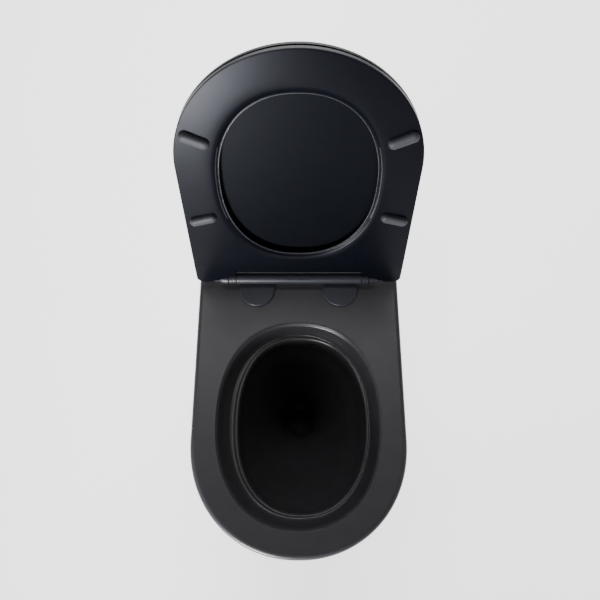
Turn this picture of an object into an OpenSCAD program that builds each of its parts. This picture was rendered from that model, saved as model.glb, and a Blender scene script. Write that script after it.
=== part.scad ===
// Floor-standing back-to-wall toilet pan with slim soft-close seat and lid.
// Origin: floor level, on the centreline, under the middle of the overall
// depth with seat and lid raised. +Y points to the wall, -Y to the user.
// The modelled pose is seat and lid raised against their stops.

/* [Pan] */
// Width of the pan across its parallel sides
pan_w = 358; // [352:1:362]
// Height of the rim above the floor
rim_h = 400; // [395:1:420]
// Distance from the hinge axis to the pan's front tip
front_reach = 453; // [445:1:460]
// Distance from the hinge axis to the wall plane
rear_reach = 68; // [64:1:76]
// Thickness of the skirt and bowl walls
wall_t = 12; // [10:0.5:13]
// Thickness of the deck under the seat
deck_t = 20; // [18:1:24]
// How far the skirt draws in from rim to floor
skirt_in = 42; // [34:1:46]
// Width of the foot that stands on the floor
foot_w = 24; // [20:1:28]

/* [Bowl] */
// Half width of the bowl opening
bowl_a = 133.5; // [130:0.5:135]
// Half length of the bowl opening, towards the front
bowl_bf = 166; // [162:1:168]
// Half length of the bowl opening, towards the rear
bowl_br = 159; // [156:1:161]
// Depth of the flush ledge below the rim
ledge_d = 44; // [40:1:48]
// Width of the flush ledge
ledge_w = 14; // [10:1:16]

/* [Waste and flush] */
// Height of the outlet's centre above the floor
outlet_h = 180; // [178:1:185]
// Outside diameter of the outlet spigot
outlet_d = 102; // [100:1:104]
// Bore of the trapway
trap_d = 54; // [52:1:56]
// Height of the flush inlet's centre above the floor
inlet_h = 340; // [336:1:342]
// Bore of the flush inlet socket in the pan
inlet_d = 55; // [54:0.5:56]
// Bore of the seal that the flush pipe pushes into
seal_bore_d = 44.6; // [44:0.1:45]

/* [Seat and lid] */
// Angle between closed and raised
open_angle = 106; // [100:1:108]
// Half width of seat and lid at the start of the front curve
seat_a = 178.5; // [176:0.5:180]
// Half width of seat and lid at the rear edge
seat_rear_a = 181; // [179:0.5:182]
// Length of the front curve
seat_b = 188; // [183:1:193]
// distance from the hinge axis to the tip of seat and lid
seat_reach = 448; // [440:1:455]
// Thickness of the seat
seat_t = 9; // [8:0.5:9]
// Thickness of the lid
lid_t = 7; // [6:0.5:7]
// Half width of the seat opening
hole_a = 116; // [112:0.5:118]
// Half length of the seat opening
hole_b = 154.5; // [150:0.5:156]

/* [Hinge] */
// Height of the hinge axis above the rim
axis_up = 18; // [18:0.5:19]
// Diameter of the hinge bar
bar_d = 22; // [21:0.5:22]
// Length of the hinge bar
bar_len = 221.6; // [220:0.2:222]
// Distance between the two posts and pan holes
post_pitch = 150; // [148:1:155]
// How far the pan holes lie in front of the hinge axis
hole_front = 17; // [16:0.5:18]
// Diameter of the round base covers
cover_d = 63; // [60:1:64]
// Travel of the release button
press = 2.8; // [2.4:0.1:2.8]

/* [Hidden] */

hy = 160;                       // y of the hinge axis
hz = rim_h + axis_up;           // z of the hinge axis
R = pan_w / 2;                  // radius of the pan's front
yc = hy - front_reach + R;      // centre of the pan's front curve
wall_y = hy + rear_reach;       // plane of the wall
bowl_y = hy - 243;              // centre of the bowl opening
sump_y = hy - 205;              // centre of the sump
hole_y = hy - hole_front;       // row of the seat-fixing holes
hole_x = post_pitch / 2;
tilt = 25;                      // lean of the button towards the user
bar_r = bar_d / 2;
bore_r = 8.1;                   // inside radius of the hinge bar
ring_x0 = 112; ring_x1 = 124.6; // the lid's ears
cone_x0 = 125.6; cone_x1 = 145; // the seat's ears
under = -axis_up + 8;           // underside of the closed seat, from the axis
lid_under = under + seat_t + 3; // underside of the closed lid
side_y = 150; side_z = 55;      // side fixing screws

// ---------- shared shapes ----------
function sg(v) = v < 0 ? -1 : 1;
// closed egg outline, counter-clockwise: half width a, front bf, rear br, squareness n
function egg(N, cy, a, bf, br, n) = [for (i = [0:N-1])
  let (t = 360*i/N, c = cos(t), s = sin(t))
  [a*sg(c)*pow(abs(c), 2/n), cy + (s > 0 ? br : bf)*sg(s)*pow(abs(s), 2/n)]];

// solid through a stack of outlines [z, points], lowest first
module loft(rings) {
  N = len(rings[0][1]); M = len(rings);
  polyhedron(
    points = [for (r = rings) for (p = r[1]) [p[0], p[1], r[0]]],
    faces = concat(
      [[for (j = [0:N-1]) j]],
      [for (i = [0:M-2]) for (j = [0:N-1]) [i*N+j, (i+1)*N+(j+1)%N, i*N+(j+1)%N]],
      [for (i = [0:M-2]) for (j = [0:N-1]) [i*N+j, (i+1)*N+j, (i+1)*N+(j+1)%N]],
      [[for (j = [N-1:-1:0]) (M-1)*N+j]]),
    convexity = 6);
}

// cylinder between two points that share one x
module tube(x, a, b, r) {
  dy = b[0]-a[0]; dz = b[1]-a[1]; l = sqrt(dy*dy + dz*dz);
  translate([x, a[0], a[1]]) rotate([-atan2(dy, dz), 0, 0]) cylinder(r = r, h = l, $fn = 64);
}
// cylinder along X from x0 to x1
module xcyl(x0, x1, r, fn = 64) {
  translate([x0, 0, 0]) rotate([0, 90, 0]) cylinder(r = r, h = x1-x0, $fn = fn);
}
// oblong of full length l and width w
module oblong(l, w, h) {
  translate([-(l-w)/2, -w/2, 0]) cube([l-w, w, h]);
  for (s = [-1, 1]) translate([s*(l-w)/2, 0, 0]) cylinder(r = w/2, h = h, $fn = 48);
}
// places closed seat and lid geometry (s forward = -y, axis at 0) in the raised pose
module raised() { translate([0, hy, hz]) rotate([-open_angle, 0, 0]) children(); }
// places bar geometry, local z out through the button
module in_bar() { translate([0, hy, hz]) rotate([tilt, 0, 0]) children(); }

// ---------- pan ----------
function sm(t) = t <= 0 ? 0 : t >= 1 ? 1 : t*t*(3-2*t);
function skirt_r(z) = R - skirt_in*sm((rim_h*0.86 - z)/(rim_h*0.80));
skirt_z = [for (i = [0:13]) rim_h - 9 - (rim_h - 9)*i/13];
function skirt_profile(x0) = concat(
  [[x0, rim_h]],
  [for (a = [90:-15:0]) [R - 7 + 7*cos(a), rim_h - 7 + 7*sin(a)]],
  [for (z = skirt_z) [skirt_r(z), z]],
  [[R - skirt_in - foot_w, 0], [R - skirt_in - foot_w, 14]],
  [for (i = [12:-1:0]) let (z = 14 + (rim_h - deck_t - 14)*(12-i)/12) [min(skirt_r(z), R) - wall_t, z]],
  [[x0, rim_h - deck_t]]);

skin_x = skirt_r(side_z);       // outer skin at the side screws
module pan_shell() {
  translate([0, yc, 0]) {
    rotate([0, 0, 180]) rotate_extrude(angle = 180, $fn = 128) polygon(skirt_profile(0));
    for (m = [0, 1]) mirror([m, 0, 0])
      rotate([90, 0, 0]) translate([0, 0, -(wall_y - yc)])
        linear_extrude(wall_y - yc) polygon(skirt_profile(0));
  }
}
// [height below rim, centre y, half width, front, rear]
bowl_rows = [
  [-2, bowl_y, bowl_a, bowl_bf, bowl_br],
  [6, bowl_y, bowl_a - 0.5, bowl_bf - 0.5, bowl_br - 0.5],
  [ledge_d - 10, bowl_y, bowl_a - 4, bowl_bf - 4, bowl_br - 4],
  [ledge_d - 3, bowl_y, bowl_a - 6, bowl_bf - 6, bowl_br - 6],
  [ledge_d, bowl_y + 2, bowl_a - 6 - ledge_w, bowl_bf - 5 - ledge_w, bowl_br - 5 - ledge_w],
  [ledge_d + 6, bowl_y + 3, bowl_a - 8 - ledge_w, bowl_bf - 8 - ledge_w, bowl_br - 8 - ledge_w],
  [80, bowl_y + 4, 106, 138, 134],
  [115, bowl_y + 8, 96, 124, 122],
  [150, bowl_y + 14, 83, 106, 106],
  [185, bowl_y + 22, 67, 84, 84],
  [215, bowl_y + 30, 53, 64, 62],
  [245, sump_y, 42, 48, 46],
  [285, sump_y, 33, 35, 35],
  [308, sump_y, 24, 26, 26],
  [318, sump_y, 12, 13, 13]];
module bowl_space() loft([for (i = [len(bowl_rows)-1:-1:0]) let (b = bowl_rows[i])
  [rim_h - b[0], egg(56, b[1], b[2], b[3], b[4], 2.25)]]);
module bowl_body() loft([for (b = [
    [330, sump_y, 22, 24, 24], [318, sump_y, 34, 36, 36], [285, sump_y, 44, 46, 46],
    [245, sump_y, 54, 60, 58], [215, bowl_y + 30, 65, 76, 74], [185, bowl_y + 22, 79, 96, 96],
    [150, bowl_y + 14, 95, 118, 118], [115, bowl_y + 8, 108, 136, 134],
    [80, bowl_y + 4, 119, 151, 147], [40, bowl_y + 1, 139, 171, 165],
    [10, bowl_y, 145, 177, 171]])
  [rim_h - b[0], egg(44, b[1], b[2], b[3], b[4], 2.25)]]);
trap = [[sump_y, rim_h - 297], [hy - 150, rim_h - 300], [hy - 78, rim_h - 195], [hy - 8, outlet_h]];
module trap_path(r, rs) {
  for (i = [0:2]) tube(0, trap[i], trap[i+1], r);
  for (i = [0:3]) translate([0, trap[i][0], trap[i][1]]) sphere(r = rs, $fn = 64);
}
// The china body is one casting. It is split here into five simple regions that touch face to face.
deck_z = rim_h - deck_t;        // underside of the deck
bend_y = hy - 138;              // where the sump bend ends and the trapway begins
module spigot() translate([0, hy - 14, outlet_h]) rotate([-90, 0, 0])
  cylinder(r = outlet_d/2, h = wall_y - 12 - hy + 14, $fn = 96);
module chamber_block() translate([-64, hy - 95, inlet_h - 46])
  cube([128, wall_y - hy + 95, deck_z - inlet_h + 46]);
module chamber_inside() {
  translate([-53, hy - 62, inlet_h - 35]) cube([106, wall_y - 12 - hy + 62, 70]);
  translate([44, hy - 56, inlet_h + 3]) rotate([90, 0, -20]) cylinder(r = 7.5, h = 58, $fn = 48);
}
// deck with the bowl's opening and the two seat-fixing holes in their bosses
module pan_deck() color([0.22, 0.21, 0.23]) difference() {
  union() {
    difference() {
      pan_shell();
      translate([-250, -400, -10]) cube([500, 700, deck_z + 10]);
    }
    difference() {
      for (s = [-1, 1]) translate([s*hole_x, hole_y, deck_z - 14]) cylinder(r = 17, h = 20, $fn = 64);
      chamber_block();
    }
  }
  bowl_space();
  for (s = [-1, 1]) translate([s*hole_x, hole_y, deck_z - 30]) cylinder(r = 8, h = deck_t + 40, $fn = 64);
}
// skirt with its foot and the two side screw holes
module pan_skirt() color([0.25, 0.24, 0.26]) difference() {
  pan_shell();
  translate([-250, -400, deck_z]) cube([500, 700, deck_t + 10]);
  for (s = [-1, 1]) {
    translate([s*R, side_y, side_z]) rotate([0, 90, 0]) cylinder(r = 3.6, h = 140, center = true, $fn = 48);
    translate([s*(skin_x + 43.8), side_y, side_z]) rotate([0, 90, 0]) cylinder(r = 5.2, h = 100, center = true, $fn = 48);
  }
}
// bowl with the sump bend
module pan_bowl() color([0.28, 0.27, 0.29]) difference() {
  union() {
    bowl_body();
    difference() {
      trap_path(trap_d/2 + 10, trap_d/2 + 10.6);
      translate([-60, bend_y, 0]) cube([120, 250, 300]);
    }
  }
  translate([-250, -400, deck_z]) cube([500, 700, deck_t + 10]);
  bowl_space();
  trap_path(trap_d/2, trap_d/2 + 0.5);
  chamber_inside();
}
// trapway from the bend over the weir to the outlet spigot
module pan_trapway() color([0.31, 0.30, 0.32]) difference() {
  union() {
    difference() {
      trap_path(trap_d/2 + 10, trap_d/2 + 10.6);
      translate([-60, bend_y - 150, 0]) cube([120, 150, 300]);
    }
    spigot();
  }
  trap_path(trap_d/2, trap_d/2 + 0.5);
  translate([0, hy + 8, outlet_h]) rotate([-90, 0, 0])
    cylinder(r = outlet_d/2 - 9, h = wall_y - hy, $fn = 96);
  translate([0, hy - 8, outlet_h]) rotate([-90, 0, 0])
    cylinder(r1 = trap_d/2 - 0.2, r2 = outlet_d/2 - 9.3, h = 17, $fn = 96);
}
// flush chamber behind the bowl, with its inlet socket and its jet
module pan_flush_chamber() color([0.34, 0.33, 0.35]) difference() {
  chamber_block();
  bowl_body();
  chamber_inside();
  translate([0, wall_y - 20, inlet_h]) rotate([-90, 0, 0]) cylinder(r = inlet_d/2, h = 30, $fn = 96);
}

// ---------- seat and lid ----------
seat_c = seat_reach - seat_b;  // start of the front curve, from the axis
corner = 12;                    // rounding of the rear corners
function plate(inset = 0) = let (a = seat_a - inset, b = seat_b - inset, ra = seat_rear_a - inset, c = corner) concat(
  [for (i = [0:48]) let (t = 180 + 180*i/48) [a*cos(t), -seat_c + b*sin(t)]],
  [for (i = [0:6]) let (t = 90*i/6) [ra - c + c*cos(t), 2 - inset - c + c*sin(t)]],
  [for (i = [0:6]) let (t = 90 + 90*i/6) [-(ra - c) + c*cos(t), 2 - inset - c + c*sin(t)]]);
module slab(z0, t, e) {
  translate([0, 0, z0 + e]) linear_extrude(t - 2*e) polygon(plate());
  translate([0, 0, z0]) linear_extrude(t) polygon(plate(e));
}
module seat_opening(z0, t) {
  translate([0, 0, z0 - 1]) linear_extrude(t + 2) polygon(egg(64, -230, hole_a, hole_b, hole_b, 2.25));
  translate([0, 0, z0 - 1]) linear_extrude(3) polygon(egg(64, -230, hole_a + 3, hole_b + 3, hole_b + 3, 2.25));
}
front_bump = [143.5, -314, -25];
rear_bump = [150, -160, 16];
module bump_at(x, y, a, m) { mirror([m, 0, 0]) translate([x, y, 0]) rotate([0, 0, a]) children(); }

module seat() color([0.16, 0.17, 0.20]) raised() difference() {
  union() {
    difference() {
      slab(under, seat_t, 1.8);
      seat_opening(under, seat_t);
      // clear of the bar and the lid's ears
      translate([-111.6, -31, under - 5]) cube([223.2, 60, seat_t + 30]);
      translate([-cone_x0, -13.6, under - 5]) cube([2*cone_x0, 60, seat_t + 30]);
    }
    for (m = [0, 1]) mirror([m, 0, 0]) {
      translate([cone_x0, 0, 0]) rotate([0, 90, 0]) cylinder(r1 = bar_r, r2 = 7.5, h = cone_x1 - cone_x0, $fn = 64);
      translate([cone_x0, -20, under]) cube([16, 20, seat_t]);
    }
  }
  // left ear: keyed socket, right ear: plain bearing
  difference() {
    xcyl(-139, -cone_x0 + 1, 4.05);
    for (s = [-1, 1]) translate([-140, s*5 - 2, -6]) cube([16, 4, 12]);
  }
  xcyl(cone_x0 - 1, 138.5, 3.05);
  // peg holes of the bumpers
  for (m = [0, 1]) for (b = [front_bump, rear_bump]) bump_at(b[0], b[1], b[2], m)
    for (s = [-1, 1]) translate([s*11, 0, under - 1]) cylinder(r = 2.05, h = 6, $fn = 32);
}

module lid() color([0.15, 0.16, 0.19]) raised() difference() {
  union() {
    difference() {
      slab(lid_under, lid_t, 1.6);
      translate([-cone_x1 - 2, -13, lid_under - 5]) cube([2*cone_x1 + 4, 60, lid_t + 30]);
    }
    for (m = [0, 1]) mirror([m, 0, 0]) {
      xcyl(ring_x0, ring_x1, bar_r);
      translate([ring_x0, -16, lid_under]) cube([ring_x1 - ring_x0, 16, lid_t - 0.4]);
    }
  }
  // left ear: plain bearing, right ear: keyed socket
  xcyl(-ring_x1 - 1, -ring_x0 + 1, 4.06);
  difference() {
    xcyl(ring_x0 - 1, ring_x1 + 1, 4.05);
    for (s = [-1, 1]) translate([ring_x0 - 2, s*5 - 2, -6]) cube([16, 4, 12]);
  }
  for (s = [-1, 1]) translate([s*95, -395, lid_under - 1]) cylinder(r = 2.05, h = 4.5, $fn = 32);
}

// domed oblong bumper on two pegs, its foot just clear of the deck when closed
module seat_bumper(b, m) color([0.13, 0.13, 0.15]) raised() bump_at(b[0], b[1], b[2], m) {
  h = under + axis_up - 0.3;
  translate([0, 0, under - h]) {
    hull() {
      translate([0, 0, h - 1]) linear_extrude(1) { square([28, 16], center = true); for (s = [-1, 1]) translate([s*14, 0]) circle(r = 8, $fn = 32); }
      translate([0, 0, 3]) linear_extrude(1) { square([27, 14.6], center = true); for (s = [-1, 1]) translate([s*13.5, 0]) circle(r = 7.3, $fn = 32); }
      linear_extrude(0.5) { square([23, 8], center = true); for (s = [-1, 1]) translate([s*11.5, 0]) circle(r = 4, $fn = 32); }
    }
    for (s = [-1, 1]) translate([s*11, 0, h - 0.5]) cylinder(r = 2, h = 5, $fn = 32);
  }
}
module seat_bumper_front_left() seat_bumper(front_bump, 1);
module seat_bumper_front_right() seat_bumper(front_bump, 0);
module seat_bumper_rear_left() seat_bumper(rear_bump, 1);
module seat_bumper_rear_right() seat_bumper(rear_bump, 0);

module lid_bumpers() color([0.13, 0.13, 0.15]) raised()
  for (s = [-1, 1]) translate([s*95, -395, 0]) {
    translate([0, 0, lid_under - 2.7]) cylinder(r1 = 4.4, r2 = 5.5, h = 2.7, $fn = 48);
    translate([0, 0, lid_under - 0.2]) cylinder(r = 2, h = 3.4, $fn = 32);
  }

// ---------- hinge ----------
module hinge_bar() color([0.27, 0.28, 0.32]) difference() {
  translate([0, hy, hz]) xcyl(-bar_len/2, bar_len/2, bar_r, 96);
  translate([0, hy, hz]) xcyl(-bar_len/2 - 1, bar_len/2 + 1, bore_r, 96);
  in_bar() translate([0, 0, 5]) oblong(45.6, 5.6, 10);
  for (s = [-1, 1]) translate([s*hole_x, hy, hz - 20]) cylinder(r = 6.3, h = 20, $fn = 64);
}

module release_button() color([0.20, 0.21, 0.24]) in_bar() {
  translate([0, 0, 6]) oblong(44.8, 4.8, 4.7);
  translate([0, 0, 5]) oblong(46.6, 7.4, 1.3);
  // forked wedge legs that straddle the latch pins and draw them in
  for (m = [0, 1]) mirror([m, 0, 0]) for (z = [-4, 2.3]) rotate([90, 0, 0]) translate([0, 0, z])
    linear_extrude(1.7) polygon([[17.95, -1], [22, -1], [22, 5.2], [14.65, 5.2], [14.65, 2.3]]);
}

module latch_guide() color([0.55, 0.56, 0.58]) in_bar() difference() {
  xcyl(-28, 28, 8.02);
  // open towards the button, two bays for springs and pin heads
  translate([-29, -9, 1.2]) cube([58, 18, 12]);
  for (s = [-1, 1]) translate([s*13.25 - 11.75, -5, -4]) cube([23.5, 10, 12]);
  xcyl(-29, -20, 2.06, 48);
  xcyl(20, 29, 2.06, 48);
}
module latch_pin(m) color([0.72, 0.73, 0.75]) in_bar() mirror([m, 0, 0]) {
  xcyl(17.5, 71.4, 2, 48);
  rotate([90, 0, 0]) translate([0, 0, -4]) linear_extrude(8)
    polygon([[12, -3.5], [18, -3.5], [18, -1.5], [14.5, 2], [12, 2]]);
}
module latch_pin_left() latch_pin(1);
module latch_pin_right() latch_pin(0);

// compression spring along X, one closed tube along a helix
module spring(x0, x1, rc, rw, turns) {
  K = 6; S = turns*12; dx = (x1 - x0 - 2*rw)/S;
  pts = [for (i = [0:S]) let (t = 30*i) for (k = [0:K-1]) let (u = 360*k/K, q = rc + rw*cos(u))
    [x0 + rw + dx*i + rw*sin(u), q*cos(t), q*sin(t)]];
  polyhedron(points = pts, faces = concat(
    [[for (k = [K-1:-1:0]) k]],
    [for (i = [0:S-1]) for (k = [0:K-1]) [i*K+k, i*K+(k+1)%K, (i+1)*K+(k+1)%K]],
    [for (i = [0:S-1]) for (k = [0:K-1]) [i*K+k, (i+1)*K+(k+1)%K, (i+1)*K+k]],
    [[for (k = [0:K-1]) S*K+k]]), convexity = 8);
}
module latch_spring_left() color([0.75, 0.76, 0.78]) in_bar() mirror([1, 0, 0]) spring(1.7, 11.8, 1.5, 0.33, 7);
module latch_spring_right() color([0.75, 0.76, 0.78]) in_bar() spring(1.7, 11.8, 1.5, 0.33, 7);

module damper_body(m) color([0.30, 0.30, 0.33]) translate([0, hy, hz]) mirror([m, 0, 0]) difference() {
  xcyl(84, 110.6, 8.05);
  xcyl(86, 108, 6);
  xcyl(107, 111, 4.06);
}
module damper_body_left() damper_body(1);
module damper_body_right() damper_body(0);

// double-D length of shaft, 6 mm across its flats
module key_shaft(x0, x1) difference() {
  xcyl(x0, x1, 4);
  for (s = [-1, 1]) translate([x0 - 1, s*5 - 2, -6]) cube([x1 - x0 + 2, 4, 12]);
}
module damper_shaft_left() color([0.78, 0.79, 0.80]) translate([0, hy, hz]) rotate([-open_angle, 0, 0]) mirror([1, 0, 0]) {
  xcyl(86.3, 107.7, 5.9);
  xcyl(107, 125.2, 4);
  key_shaft(125, 138);
}
module damper_shaft_right() color([0.78, 0.79, 0.80]) translate([0, hy, hz]) rotate([-open_angle, 0, 0]) {
  xcyl(86.3, 107.7, 5.9);
  xcyl(107, 111.8, 4);
  key_shaft(111.6, 124.6);
  xcyl(124.4, 138, 3);
}

// ---------- hinge bases and their fixings ----------
module hinge_base(m) color([0.70, 0.71, 0.73]) mirror([m, 0, 0]) difference() {
  union() {
    translate([hole_x, hole_y, rim_h + 0.8]) cylinder(r = cover_d/2 - 4, h = 3, $fn = 96);
    translate([hole_x, hy, rim_h + 3.2]) cylinder(r = 6, h = hz + 5 - rim_h - 3.2, $fn = 64);
  }
  // countersunk hole for the fixing screw
  translate([hole_x, hole_y, rim_h]) cylinder(r = 3.3, h = 6, $fn = 48);
  translate([hole_x, hole_y, rim_h + 1.4]) cylinder(r1 = 3.3, r2 = 6.2, h = 2.6, $fn = 48);
  // pocket for the latch pin
  translate([hole_x - 8, hy, hz]) rotate([0, 90, 0]) cylinder(r = 2.2, h = 5.6, $fn = 48);
}
module hinge_base_left() hinge_base(1);
module hinge_base_right() hinge_base(0);

module hinge_cover(m) color([0.19, 0.20, 0.24]) mirror([m, 0, 0]) difference() {
  union() {
    translate([hole_x, hole_y, rim_h + 0.15]) cylinder(r = cover_d/2, h = 4.2, $fn = 96);
    translate([hole_x, hole_y, rim_h + 4.3]) cylinder(r1 = cover_d/2, r2 = cover_d/2 - 1.2, h = 1.2, $fn = 96);
  }
  translate([hole_x, hole_y, rim_h - 1]) cylinder(r = cover_d/2 - 3.7, h = 5.1, $fn = 96);
  translate([hole_x, hy, rim_h]) cylinder(r = 6.3, h = 10, $fn = 64);
}
module hinge_cover_left() hinge_cover(1);
module hinge_cover_right() hinge_cover(0);

module fixing_screws() color([0.74, 0.75, 0.77]) for (s = [-1, 1]) translate([s*hole_x, hole_y, 0]) {
  difference() {
    translate([0, 0, rim_h + 1.45]) cylinder(r1 = 3.1, r2 = 5.4, h = 2.2, $fn = 48);
    translate([0, 0, rim_h + 2.2]) cylinder(r = 2.1, h = 4, $fn = 6);
  }
  translate([0, 0, rim_h - 62]) cylinder(r = 3, h = 64, $fn = 48);
}
module expansion_plugs() color([0.12, 0.12, 0.12]) for (s = [-1, 1]) translate([s*hole_x, hole_y, 0])
  difference() {
    union() {
      translate([0, 0, rim_h - 46]) cylinder(r = 7.9, h = 46.05, $fn = 64);
      translate([0, 0, rim_h + 0.03]) cylinder(r = 12, h = 0.72, $fn = 64);
    }
    translate([0, 0, rim_h - 50]) cylinder(r = 3.1, h = 60, $fn = 48);
  }
module plug_nuts() color([0.70, 0.71, 0.73]) for (s = [-1, 1]) translate([s*hole_x, hole_y, 0])
  difference() {
    translate([0, 0, rim_h - 58.1]) cylinder(r = 7.4, h = 12, $fn = 64);
    translate([0, 0, rim_h - 64]) cylinder(r = 3.04, h = 30, $fn = 48);
  }

// ---------- seal, brackets and side fixings ----------
module inlet_seal() color([0.10, 0.10, 0.10]) translate([0, wall_y, inlet_h]) rotate([90, 0, 0])
  rotate_extrude($fn = 96) polygon([[seal_bore_d/2, 0.3], [inlet_d/2 - 0.05, 0.3],
    [inlet_d/2 - 0.05, 14], [seal_bore_d/2 + 2.2, 25], [seal_bore_d/2, 25]]);

in_x = R - skirt_in - 10;       // outer face of the brackets
module floor_bracket(m) color([0.62, 0.63, 0.65]) mirror([m, 0, 0]) difference() {
  union() {
    translate([in_x - 60, side_y - 30, 0]) cube([34, 60, 5]);
    translate([in_x - 31, side_y - 30, 0]) cube([5, 60, 74]);
    for (s = [-1, 1]) translate([in_x - 52, side_y + s*26 - 2.5, 0])
      rotate([90, 0, 0]) translate([0, 0, -5]) linear_extrude(5) polygon([[0, 4], [24, 4], [24, 60]]);
    translate([in_x - 27, side_y, side_z]) rotate([0, 90, 0]) cylinder(r = 9, h = 15, $fn = 48);
  }
  for (s = [-1, 1]) translate([in_x - 46, side_y + s*14, -1]) cylinder(r = 4.25, h = 10, $fn = 48);
  translate([in_x - 40, side_y, side_z]) rotate([0, 90, 0]) cylinder(r = 2.95, h = 40, $fn = 48);
}
module floor_bracket_left() floor_bracket(1);
module floor_bracket_right() floor_bracket(0);

module side_screws() color([0.74, 0.75, 0.77]) for (m = [0, 1]) mirror([m, 0, 0])
  translate([0, side_y, side_z]) {
    xcyl(in_x - 34, skin_x - 5.9, 2.9, 48);
    difference() {
      xcyl(skin_x - 6.1, skin_x - 3, 4.8, 48);
      xcyl(skin_x - 4.8, skin_x - 2, 2.2, 6);
    }
  }
module side_screw_caps() color([0.20, 0.20, 0.22]) for (m = [0, 1]) mirror([m, 0, 0])
  translate([0, side_y, side_z]) {
    xcyl(skin_x - 2.8, skin_x + 0.9, 5.15, 48);
    xcyl(skin_x + 0.8, skin_x + 2.3, 8, 64);
  }

pan_deck();
pan_skirt();
pan_bowl();
pan_trapway();
pan_flush_chamber();
seat();
lid();
hinge_bar();
release_button();
hinge_cover_left();
hinge_cover_right();
hinge_base_left();
hinge_base_right();
seat_bumper_front_left();
seat_bumper_front_right();
seat_bumper_rear_left();
seat_bumper_rear_right();
lid_bumpers();
fixing_screws();
expansion_plugs();
plug_nuts();
latch_guide();
latch_pin_left();
latch_pin_right();
latch_spring_left();
latch_spring_right();
damper_body_left();
damper_body_right();
damper_shaft_left();
damper_shaft_right();
inlet_seal();
floor_bracket_left();
floor_bracket_right();
side_screws();
side_screw_caps();
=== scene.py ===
# Looks of the toilet pan with seat and lid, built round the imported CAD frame.
import bpy
import bmesh
import math
import numpy as np
from mathutils import Vector, Matrix


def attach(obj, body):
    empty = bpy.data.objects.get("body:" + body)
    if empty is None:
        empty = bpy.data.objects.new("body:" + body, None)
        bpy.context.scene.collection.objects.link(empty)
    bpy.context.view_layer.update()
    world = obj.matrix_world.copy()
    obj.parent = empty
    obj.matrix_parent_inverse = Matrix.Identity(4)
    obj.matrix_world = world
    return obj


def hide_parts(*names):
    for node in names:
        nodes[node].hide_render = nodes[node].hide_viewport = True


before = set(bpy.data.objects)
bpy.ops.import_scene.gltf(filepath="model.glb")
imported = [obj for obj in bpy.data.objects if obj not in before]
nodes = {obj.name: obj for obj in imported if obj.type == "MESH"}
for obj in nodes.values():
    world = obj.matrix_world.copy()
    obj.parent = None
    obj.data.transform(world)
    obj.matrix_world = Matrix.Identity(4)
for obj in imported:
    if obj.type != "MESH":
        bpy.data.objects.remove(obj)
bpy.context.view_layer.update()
MM = 0.001

# ---------------------------------------------------------------- numbers
HY, HZ, RIM = 160.0, 418.0, 400.0
REACH, WALL = 448.0, 228.0
OPEN = math.radians(106.0)
BAR_R = 11.0


# ---------------------------------------------------------------- helpers
def add(obj):
    bpy.context.scene.collection.objects.link(obj)
    return obj


def mesh_obj(name, verts, faces, smooth=True):
    me = bpy.data.meshes.new(name)
    me.from_pydata([tuple(v) for v in verts], [], [tuple(f) for f in faces])
    me.validate()
    me.update()
    if smooth:
        me.polygons.foreach_set("use_smooth", [True] * len(me.polygons))
    return add(bpy.data.objects.new(name, me))


def grid_obj(name, rings, close_rings=True):
    """rings: array (K, N, 3) in mm. Closed around N, and around K when close_rings."""
    rings = np.asarray(rings, float) * MM
    k, n, _ = rings.shape
    verts = rings.reshape(-1, 3)
    faces = []
    for a in range(k if close_rings else k - 1):
        b = (a + 1) % k
        for i in range(n):
            j = (i + 1) % n
            faces.append((a * n + i, a * n + j, b * n + j, b * n + i))
    if not close_rings:
        faces.append(tuple(range(n - 1, -1, -1)))
        faces.append(tuple((k - 1) * n + i for i in range(n)))
    return mesh_obj(name, verts, faces)


def fix_normals(obj):
    bm = bmesh.new()
    bm.from_mesh(obj.data)
    bmesh.ops.recalc_face_normals(bm, faces=bm.faces)
    bm.to_mesh(obj.data)
    bm.free()


def sharp_by_angle(obj, deg=32):
    bm = bmesh.new()
    bm.from_mesh(obj.data)
    lim = math.radians(deg)
    for f in bm.faces:
        f.smooth = True
    for e in bm.edges:
        e.smooth = not (len(e.link_faces) == 2 and e.calc_face_angle(0) > lim)
    bm.to_mesh(obj.data)
    bm.free()


def revolve(name, prof, segs=96, axis="z", at=(0, 0, 0)):
    """prof: list of (r, h) in mm, closed loop that may touch the axis at its ends."""
    verts, faces = [], []
    rows = []
    for r, h in prof:
        row = []
        if r < 1e-6:
            verts.append((0, 0, h))
            row = [len(verts) - 1] * segs
        else:
            for i in range(segs):
                t = 2 * math.pi * i / segs
                verts.append((r * math.cos(t), r * math.sin(t), h))
                row.append(len(verts) - 1)
        rows.append(row)
    m = len(rows)
    closed = not (prof[0][0] < 1e-6 and prof[-1][0] < 1e-6)
    for a in range(m if closed else m - 1):
        b = (a + 1) % m
        for i in range(segs):
            j = (i + 1) % segs
            q = [rows[a][i], rows[a][j], rows[b][j], rows[b][i]]
            u = []
            for v in q:
                if v not in u:
                    u.append(v)
            if len(u) > 2:
                faces.append(u)
    out = []
    for x, y, z in verts:
        if axis == "x":
            x, y, z = z, x, y
        out.append(((x + at[0]) * MM, (y + at[1]) * MM, (z + at[2]) * MM))
    o = mesh_obj(name, out, faces)
    fix_normals(o)
    return o


def join(name, objs):
    base = objs[0]
    bm = bmesh.new()
    for o in objs:
        me = o.data.copy()
        me.transform(o.matrix_world)
        bm.from_mesh(me)
        bpy.data.meshes.remove(me)
    bm.to_mesh(base.data)
    bm.free()
    base.matrix_world = Matrix.Identity(4)
    for o in objs[1:]:
        old = o.data
        bpy.data.objects.remove(o)
        bpy.data.meshes.remove(old)
    base.name = name
    base.data.name = name
    return base


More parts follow.
